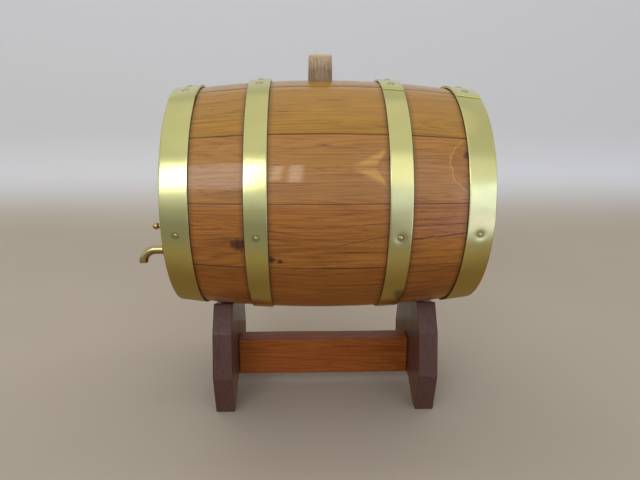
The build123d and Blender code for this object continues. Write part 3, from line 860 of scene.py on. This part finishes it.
def make_head_board(side_name, side, board):
    node = f"head_{side_name}_{board}"
    low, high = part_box(node)
    face_x = low.x if side < 0 else high.x
    back_x = high.x if side < 0 else low.x
    radius = {"bottom": AXIS_HEIGHT - low.z, "middle": HEAD_RADIUS, "top": high.z - AXIS_HEIGHT}[board]
    # depth under the face, radius there, how far the joint edges stand back
    layers = (
        (0.0, radius, 0.32 * MM), (0.12 * MM, radius, 0.10 * MM), (0.4 * MM, radius, 0.0),
        (TONGUE, radius, 0.0), (TONGUE + 0.05 * MM, radius - TONGUE_RISE, 0.0),
        (abs(face_x - back_x), radius - 10 * MM, 0.0),
    )
    z_low, z_high = low.z - AXIS_HEIGHT, high.z - AXIS_HEIGHT

    def place(i, j, k):
        depth, reach, inset = layers[k]
        bottom = max(z_low + (inset if board != "bottom" else 0), -reach + EDGE_GAP)
        top = min(z_high - (inset if board != "top" else 0), reach - EDGE_GAP)
        z = bottom + (top - bottom) * j / (HEAD_ROWS - 1)
        half = sqrt(max(reach * reach - z * z, 0.0))
        y = -half + 2 * half * i / (HEAD_COLUMNS - 1)
        hollow = 0.12 * MM * (1 + wander(side * 3.0 + z_low * 40, y * 22, z * 60)) if k == 0 else 0.0
        return Vector((face_x - side * (depth + hollow), y, AXIS_HEIGHT + z))

    def grain(i, j, k):
        spot = place(i, j, k)
        return Vector((spot.y, spot.z - AXIS_HEIGHT + side * 0.3, side * (spot.x - face_x)))

    mesh = block_mesh("oak_" + node, (HEAD_COLUMNS, HEAD_ROWS, len(layers)), place, grain)
    add_piece("oak_" + node, mesh, "barrel", "oak_heads", head_finishes[board], node)


for side_name, side in (("left", -1), ("right", 1)):
    for board in ("bottom", "middle", "top"):
        make_head_board(side_name, side, board)

# ------------------------ hoops

DIMPLES = [(angle, 0.80 * MM, 4.0 * MM) for angle in NAIL_ANGLES]  # angle, depth, reach
DIMPLES += [(angle, 0.22 * MM, 3.4 * MM) for angle in RIVET_ANGLES]
FINE_STEP, COARSE_STEP, DIMPLE_SPAN = 0.25, 0.85, 3.0  # degrees
STRIP_ENDS = (0.0, 0.05, 0.13, 0.25, 0.45)
STRIP_EDGES = (0.0, 0.08, 0.25, 0.55)  # mm in from a side
STRIP_COLUMNS = 19
STRIP_DEPTHS = (0.0, 0.35, 0.65, 1.0)
STRIP_ROUNDING, STRIP_ROUNDED = 0.5 * MM, 0.42 * MM
LAP_RAMP = (347.0, 359.0)  # where along the strip it climbs over its hidden end
STRIP_WAVE = 0.10 * MM
DENT_ANGLE, DENT_SPREAD, DENT_DEPTH = 8.0, 7.0, 0.55 * MM


def around(angle, spot):
    """The angle from a spot, from -180 to 180."""
    return (angle - spot + 180) % 360 - 180


def strip_run(lap_side):
    """The strip's path from its hidden inner end to its outer end: angles and lifts."""
    run = []
    angle = 0.0
    length = 360.0 + LAP_HIGH - LAP_LOW
    while angle < length:
        run.append(angle)
        place = LAP_LOW + angle if lap_side < 0 else LAP_HIGH - angle
        near = min(abs(around(place, dimple)) for dimple, _, _ in DIMPLES)
        angle += FINE_STEP if near < DIMPLE_SPAN else COARSE_STEP
    inner = [value for value in run if 0.6 < value < length - 0.6]
    run = [*STRIP_ENDS, *inner, *(length - value for value in reversed(STRIP_ENDS))]
    result = []
    for value in run:
        place = LAP_LOW + value if lap_side < 0 else LAP_HIGH - value
        lift = blend_step(*LAP_RAMP, value)
        from_end = radians(min(value, length - value)) * BILGE_RADIUS
        result.append((place, lift, from_end))
    return result


def make_hoop(name, number, middle, width, lap_side):
    run = strip_run(lap_side)
    breadth, margin = width / MM, STRIP_EDGES[-1]
    gap = (breadth - 2 * margin) / (STRIP_COLUMNS + 1)
    inner = [margin + gap * step for step in range(1, STRIP_COLUMNS + 1)]
    across = [*STRIP_EDGES, *inner, *(breadth - value for value in reversed(STRIP_EDGES))]
    across = [value * MM for value in across]
    low_radius = outer_radius(middle - width / 2) + STRIP_FIT
    high_radius = outer_radius(middle + width / 2) + STRIP_FIT

    def place(i, j, k):
        angle, lift, from_end = run[i]
        offset = across[j]
        share = offset / width
        base = low_radius * (1 - share) + high_radius * share
        from_side = min(offset, width - offset)
        # rounded sides and ends
        rounding = 0.0
        for distance in (from_side, from_end):
            if distance < STRIP_ROUNDING:
                fall = 1 - sqrt(1 - (1 - distance / STRIP_ROUNDING) ** 2)
                rounding = max(rounding, fall * STRIP_ROUNDED)
        inside, outside = base + rounding, base + STRIP_THICKNESS - rounding
        depth = STRIP_DEPTHS[k]
        radius = inside + (outside - inside) * depth
        radius += lift * (STRIP_THICKNESS + 0.02 * MM)
        x = middle - width / 2 + offset
        sink = 0.0
        for spot, low, reach in DIMPLES:
            distance = hypot(radians(around(angle, spot)) * base, x - middle)
            sink += low * exp(-((distance / reach) ** 2))
        wave = STRIP_WAVE * (1 + wander(number + 0.5, angle * 0.045, x * 30))
        if name == "hoop_end_right":  # this strip is pressed in a little just above its middle
            gap = (angle - DENT_ANGLE) / DENT_SPREAD
            wave += DENT_DEPTH * exp(-gap * gap) * blend_step(0.35, 1.0, share)
        radius -= sink * (0.4 + 0.6 * depth) + wave * depth
        side_wave = STRIP_WAVE * wander(number + 9.5, angle * 0.06, 0.0) * (2 * share - 1)
        return polar(x - side_wave, angle, radius)

    def grain(i, j, k):
        along = radians(run[i][0]) * BILGE_RADIUS
        return Vector((along, across[j] - width / 2 + number * 0.1, STRIP_DEPTHS[k] * STRIP_THICKNESS))

    def near(i, j, k):
        turns = [radians(around(run[i][0], spot)) for spot, _, _ in DIMPLES]
        return min(hypot(turn * BILGE_RADIUS, across[j] - width / 2) for turn in turns)

    counts = (len(run), len(across), len(STRIP_DEPTHS))
    mesh = block_mesh("brass_" + name, counts, place, grain, near)
    mesh.attributes["grain"].name = "strip"
    return add_piece("brass_" + name, mesh, "barrel", "brass_hoops", HOOP_BRASS, name)


for number, (name, (middle, width, lap_side)) in enumerate(HOOPS.items()):
    make_hoop(name, number, middle, width, lap_side)


def hoop_top(middle, width):
    """Outside radius at the middle of a hoop."""
    edges = outer_radius(middle - width / 2) + outer_radius(middle + width / 2)
    return edges / 2 + STRIP_FIT + STRIP_THICKNESS


HEAD_BRIM, HEAD_UNDERSIDE = 0.06 * MM, -0.1 * MM
HEAD_STEPS = 9


def dome_profile(shank, length, head, height):
    """Shank, flat underside and domed head."""
    points = [(0.0, -length), (shank, -length), (shank, HEAD_UNDERSIDE)]
    points += [(head * 0.97, HEAD_UNDERSIDE), (head, HEAD_BRIM)]
    for step in range(1, HEAD_STEPS):
        turn = step / HEAD_STEPS * pi / 2
        rise = HEAD_BRIM + (height - HEAD_BRIM) * sin(turn)
        points.append((head * cos(turn) ** 0.8, rise))
    points.append((0.0, height))
    return points


def hammered(seed, amount):
    def shape(turn, radius, height):
        if height <= 0:
            return radius, height
        beat = wander(seed, cos(turn) * 1.4, sin(turn) * 1.4, height * 900)
        return radius * (1 + amount * beat), height * (1 + 1.2 * amount * beat)
    return shape


def make_fasteners(name, node, angles, lift, profile, amount, sink):
    work = bmesh.new()
    for number, (middle, width, _) in enumerate(HOOPS.values()):
        for step, angle in enumerate(angles):
            radius = hoop_top(middle, width) + lift - sink
            spin = Matrix.Rotation(number * 1.7 + step, 4, "Z")
            place = surface_matrix(middle, angle, radius) @ spin
            turned(work, profile, place, 28, hammered(number * 2 + step + 0.3, amount))
    add_piece(name, finish_mesh(name, work, 50), "barrel", "brass_hoops", FASTENER_BRASS, node)


NAIL_PROFILE = dome_profile(1.0 * MM, 5.5 * MM, 2.1 * MM, 0.72 * MM)
RIVET_PROFILE = dome_profile(1.5 * MM, 1.6 * MM, 3.3 * MM, 1.05 * MM)
NAIL_SINK, RIVET_SINK = 0.74 * MM, 0.25 * MM
make_fasteners("hoop_nail_heads", "hoop_nails", NAIL_ANGLES, 0.0, NAIL_PROFILE, 0.09, NAIL_SINK)
make_fasteners(
    "hoop_rivet_heads", "hoop_rivets", RIVET_ANGLES, STRIP_THICKNESS, RIVET_PROFILE, 0.07, RIVET_SINK
)

# ------------------------ bung


BUNG_BODY_RADIUS = 12 * MM
BUNG_TAPER, BUNG_TOP_TAPER = 1.1 * MM, 0.5 * MM
BUNG_ROUNDING, BUNG_CROWN_DROP = 2.5 * MM, 2.6 * MM
BUNG_FLAT_RADIUS = 9.0 * MM
BUNG_TIP_ROUNDING = 1.2 * MM
BUNG_STEPS, BUNG_ARC_STEPS = 25, 6


def bung_profile(base, top):
    profile = [(0.0, base), (9.6 * MM, base), (10.6 * MM, base + 0.4 * MM)]
    start, end = base + BUNG_TIP_ROUNDING, top - BUNG_CROWN_DROP
    profile.append((BUNG_TIP_RADIUS, start))
    for step in range(1, BUNG_STEPS + 1):
        height = start + (end - start) * step / BUNG_STEPS
        if height < 0:
            radius = BUNG_TIP_RADIUS + BUNG_TAPER * (height - base) / -base
        else:
            radius = BUNG_BODY_RADIUS - BUNG_TOP_TAPER * height / top
        profile.append((radius, height))
    for step in range(1, BUNG_ARC_STEPS + 1):
        turn = step / BUNG_ARC_STEPS * pi / 2
        radius = BUNG_FLAT_RADIUS + BUNG_ROUNDING * cos(turn)
        profile.append((radius, end + BUNG_ROUNDING * sin(turn)))
    return profile + [(6.0 * MM, top - 0.05 * MM), (3.0 * MM, top - 0.12 * MM), (0.0, top - 0.12 * MM)]


def make_bung():
    work = bmesh.new()
    base = bung_low.z - SURFACE_Z
    top = bung_high.z - SURFACE_Z

    def shape(turn, radius, height):
        if height < 0.5 * MM:
            return radius - BUNG_SHRINK, height
        u, v = cos(turn), sin(turn)
        fibre = wander(5.0, u * 9, v * 9, height * 30)
        chip = max(0.0, wander(8.0, u * 2.2, v * 2.2, height * 120) - 0.22)
        near_top = blend_step(top - 7 * MM, top - 1 * MM, height)
        ramp_in = blend_step(0.5 * MM, 3 * MM, height)
        fall = ramp_in * (0.16 * MM * (1 + fibre) + (0.25 + 1.5 * near_top) * MM * chip)
        return radius - fall * (radius / BUNG_BODY_RADIUS), height - near_top * 0.9 * MM * chip

    place = Matrix.Translation((BUNG_CENTRE.x, 0, SURFACE_Z))
    turned(work, bung_profile(base, top), place, 120, shape)
    add_piece("turned_bung", finish_mesh("turned_bung", work, 60), "bung", "bung_wood", BUNG_WOOD, "bung")


make_bung()

# ------------------------ tap

CASTINGS = (  # name, node, body, voxel in mm, rounds of smoothing
    ("cast_tap_body", "tap_body", "barrel", 0.32, 9),
    ("cast_tap_key", "tap_key", "key", 0.30, 7),
    ("tap_key_washer", "key_washer", "key", 0.14, 2),
    ("tap_key_nut", "key_nut", "key", 0.14, 3),
)
for name, node, body, voxel, rounds in CASTINGS:
    add_piece(name, softened(name, node, voxel * MM, rounds), body, "brass_tap", TAP_BRASS, node)
seal = softened("leather_tap_seal", "tap_seal", 0.22 * MM, 4)
add_piece("leather_tap_seal", seal, "barrel", "leather_seal", SEAL_LEATHER, "tap_seal")
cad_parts["tap_backnut"].data.materials[0] = TAP_BRASS
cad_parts["head_dowels"].data.materials[0] = head_finishes["middle"]

# ------------------------ stand


def hand_cut(seed, amount, reach):
    """Moves a surface in and out a little, as a hand plane leaves it."""
    def displace(point, normal):
        beat = wander(seed, point.x * reach, point.y * reach, point.z * reach)
        return point - normal * amount * (1 + beat)
    return displace


for side_name, seed in (("left", 3.0), ("right", 4.0)):
    name, node = f"cradle_board_{side_name}", f"end_board_{side_name}"
    mesh = softened(name, node, 1.0 * MM, 5, displace=hand_cut(seed, 0.18 * MM, 34))
    add_piece(name, mesh, "stand", "stand_boards", BOARD_WOOD, node)
mesh = softened("cradle_rail", "rail", 0.9 * MM, 5, displace=hand_cut(6.0, 0.35 * MM, 26))
add_piece("cradle_rail", mesh, "stand", "stand_rail", RAIL_WOOD, "rail")


SCREW_HEIGHTS = (27 * MM, 47 * MM)
SLOT_SIZE = (2.4 * MM, 12 * MM, 1.1 * MM, 1)


def screw_slots():
    """Cutters for the slots in the four screw heads."""
    low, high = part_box("rail_screws")
    work = bmesh.new()
    for x, side in ((low.x, -1), (high.x, 1)):
        for number, z in enumerate(SCREW_HEIGHTS):
            place = Matrix.Translation((x + side * 0.2 * MM, 0, z))
            turn = Matrix.Rotation(0.5 + 0.9 * number + side, 4, "X")
            size = Matrix.Diagonal(SLOT_SIZE)
            bmesh.ops.create_cube(work, size=1.0, matrix=place @ turn @ size)
    return add_object("screw_slots", finish_mesh("screw_slots", work))


slots = screw_slots()
mesh = softened("slotted_screws", "rail_screws", 0.22 * MM, 3, cut=slots)
bpy.data.objects.remove(slots)
add_piece("slotted_screws", mesh, "stand", "steel_screws", SCREW_STEEL, "rail_screws")

# ------------------------ floor, light and camera

WALL_Y, WALL_CURVE, WALL_HEIGHT, STAGE_HALF = 0.85, 0.22, 1.0, 6.0


def make_floor():
    """A pale floor that curves up into a wall well behind the object."""
    line = [(-STAGE_HALF, 0.0), (-1.2, 0.0), (0.0, 0.0), (0.5, 0.0)]
    for step in range(13):
        turn = step / 12 * pi / 2
        line.append((WALL_Y - WALL_CURVE + WALL_CURVE * sin(turn), WALL_CURVE * (1 - cos(turn))))
    line.append((WALL_Y, WALL_HEIGHT))
    work = bmesh.new()
    rows = [[work.verts.new((x, y, z)) for x in (-STAGE_HALF, 0, STAGE_HALF)] for y, z in line]
    for low, high in zip(rows, rows[1:]):
        for step in range(2):
            work.faces.new((low[step], low[step + 1], high[step + 1], high[step]))
    floor = add_object("studio_floor", finish_mesh("studio_floor", work))
    f = Finish("pale_floor", Roughness=0.9, Specular_IOR_Level=0.0)
    cloud = f.noise(f.coordinates(), 3, detail=3.0)
    ground = f.ramp(cloud, ((0.2, (0.50, 0.43, 0.345)), (0.8, (0.54, 0.465, 0.375))))
    rise = f.ramp(f.split(f.coordinates())["Z"], ((0.0, 0.0), (0.12, 1.0)), smooth=True)
    f.set("Base Color", f.mix(rise, ground, (0.80, 0.80, 0.805)))
    floor.data.materials.append(f.material)


def area_light(name, place, target, size, radiance, colour=(1, 1, 1), mirrored=True):
    """A rectangular soft light of a given brightness, which shiny parts mirror or not."""
    light = bpy.data.lights.new(name, "AREA")
    light.shape = "RECTANGLE"
    light.size, light.size_y = size
    light.energy = radiance * 4 * size[0] * size[1]
    light.color = colour
    lamp = add_object(name, light)
    lamp.location = place
    lamp.rotation_euler = (Vector(target) - Vector(place)).to_track_quat("-Z", "Y").to_euler()
    lamp.visible_camera = False
    lamp.visible_glossy = mirrored


WINDOW_TINT, PANE_TINT, DOOR_TINT = (0.97, 1.0, 1.06), (1.0, 0.92, 0.76), (0.80, 0.95, 1.65)
DAYLIGHT = (0.97, 0.98, 1.0)
FRONT_Y = -2.2
FRONT_LIGHTS = (  # name, x, z, size, radiance, colour; each faces the back squarely
    ("window_large", -1.12, 1.58, (1.20, 1.25), 2.3, WINDOW_TINT),
    ("window_pane_left", -0.345, 1.60, (0.10, 0.70), 5.2, PANE_TINT),
    ("window_pane_right", -0.163, 1.59, (0.125, 0.82), 5.2, PANE_TINT),
    ("soft_right", 1.0, 2.0, (1.1, 1.9), 0.44, WINDOW_TINT),
    ("soft_far_right", 2.2, 2.0, (1.3, 1.9), 0.18, WINDOW_TINT),
    ("door_right", 1.95, 0.60, (1.40, 1.10), 0.62, DOOR_TINT),
    ("door_edge", 0.88, 0.60, (0.62, 1.10), 0.22, DOOR_TINT),
)


def make_light():
    for name, x, z, size, radiance, colour in FRONT_LIGHTS:
        area_light(name, (x, FRONT_Y, z), (x, 0, z), size, radiance, colour)
    area_light("ceiling", (0.0, -0.2, 2.2), (0, 0, 0), (2.4, 2.2), 0.12)
    area_light("wall_wash", (0.0, 0.3, 1.9), (0, 0.85, 0.6), (2.4, 0.4), 1.5, DAYLIGHT, mirrored=False)
    area_light("back_fill", (-0.8, 1.4, 1.8), (0, 0, 0.2), (1.2, 1.0), 1.0, DAYLIGHT, mirrored=False)


FLAG_HEIGHT = 4 * MM
FLAG_NEAR, FLAG_FAR, FLAG_HALF = 0.16, -2.35, 1.6
# Brightness of the flag by its distance in front of the barrel's axis
FLAG_STOPS = ((0.06, (0.18, 0.115, 0.055)), (0.125, (0.30, 0.235, 0.14)), (0.20, (0.24, 0.23, 0.21)),
              (0.35, (0.22, 0.22, 0.23)), (1.0, (0.36, 0.39, 0.44)))


def make_flag():
    """A dim card in front of the camera's side that only reflections see."""
    work = bmesh.new()
    edges = ((-1, FLAG_FAR), (1, FLAG_FAR), (1, FLAG_NEAR), (-1, FLAG_NEAR))
    work.faces.new([work.verts.new((side * FLAG_HALF, y, FLAG_HEIGHT)) for side, y in edges])
    flag = add_object("studio_flag", finish_mesh("studio_flag", work))
    for kind in ("camera", "diffuse", "transmission", "volume_scatter", "shadow"):
        setattr(flag, "visible_" + kind, False)
    material = bpy.data.materials.new("studio_flag")
    material.use_nodes = True
    f = Graph(material.node_tree)
    spot = f.split(f.coordinates())
    depth = f.times(spot["Y"], -0.5)
    glow = f.ramp(depth, FLAG_STOPS)
    ahead = f.calc("MAXIMUM", f.times(spot["Y"], -1.0), 0.05)
    side = f.rise(f.calc("DIVIDE", f.minus(spot["X"], 0.1), ahead), 0.15, 0.62)
    right = f.times(side, f.rise(depth, 0.16, 0.27))
    emission = f.node("Emission", Color=f.mix(right, glow, (0.95, 0.97, 1.45)))
    f.node("OutputMaterial", Surface=emission.outputs["Emission"])
    flag.data.materials.append(material)


# Brightness of the room by the sine of the direction's height, from -1 to 1
SKY = (
    (-1.0, (0.22, 0.20, 0.17)), (-0.10, (0.24, 0.24, 0.26)), (0.02, (0.46, 0.50, 0.56)),
    (0.18, (0.58, 0.62, 0.72)), (0.45, (0.54, 0.56, 0.58)), (0.75, (0.50, 0.50, 0.485)),
    (1.0, (0.46, 0.455, 0.43)),
)


def make_world():
    """A room that is dim below eye level and light above."""
    world = bpy.data.worlds.new("studio")
    bpy.context.scene.world = world
    world.use_nodes = True
    f = Graph(world.node_tree)
    parts = f.split(f.node("TexCoord").outputs["Generated"])
    stops = [((sine + 1) / 2, colour) for sine, colour in SKY]
    sky = f.ramp(f.times_plus(parts["Z"], 0.5, 0.5), stops)
    background = f.node("Background", Color=sky)
    f.node("OutputWorld", Surface=background.outputs["Background"])


CAMERA_PLACE = (0.003075, -0.5569, 0.3290)
CAMERA_YAW, CAMERA_PITCH, CAMERA_ROLL = 1.964, 16.0, 0.284
CAMERA_LENS = 30.375  # mm, on a sensor 36 mm wide


def make_camera():
    """A view from the front: 16 degrees down, turned 2 degrees towards +X."""
    yaw, pitch, roll = (radians(angle) for angle in (CAMERA_YAW, CAMERA_PITCH, CAMERA_ROLL))
    ahead = Vector((sin(yaw) * cos(pitch), cos(yaw) * cos(pitch), -sin(pitch)))
    level = Vector((cos(yaw), -sin(yaw), 0))
    upright = level.cross(ahead)
    right = level * cos(roll) + upright * sin(roll)
    up = upright * cos(roll) - level * sin(roll)
    data = bpy.data.cameras.new("camera")
    data.sensor_width = 36.0
    data.lens = CAMERA_LENS
    data.clip_start = 0.01
    camera = add_object("camera", data)
    camera.matrix_world = Matrix((right, up, -ahead)).transposed().to_4x4()
    camera.location = CAMERA_PLACE
    bpy.context.scene.camera = camera


make_floor()
make_flag()
make_light()
make_world()
make_camera()
bpy.context.scene.view_settings.view_transform = "Standard"
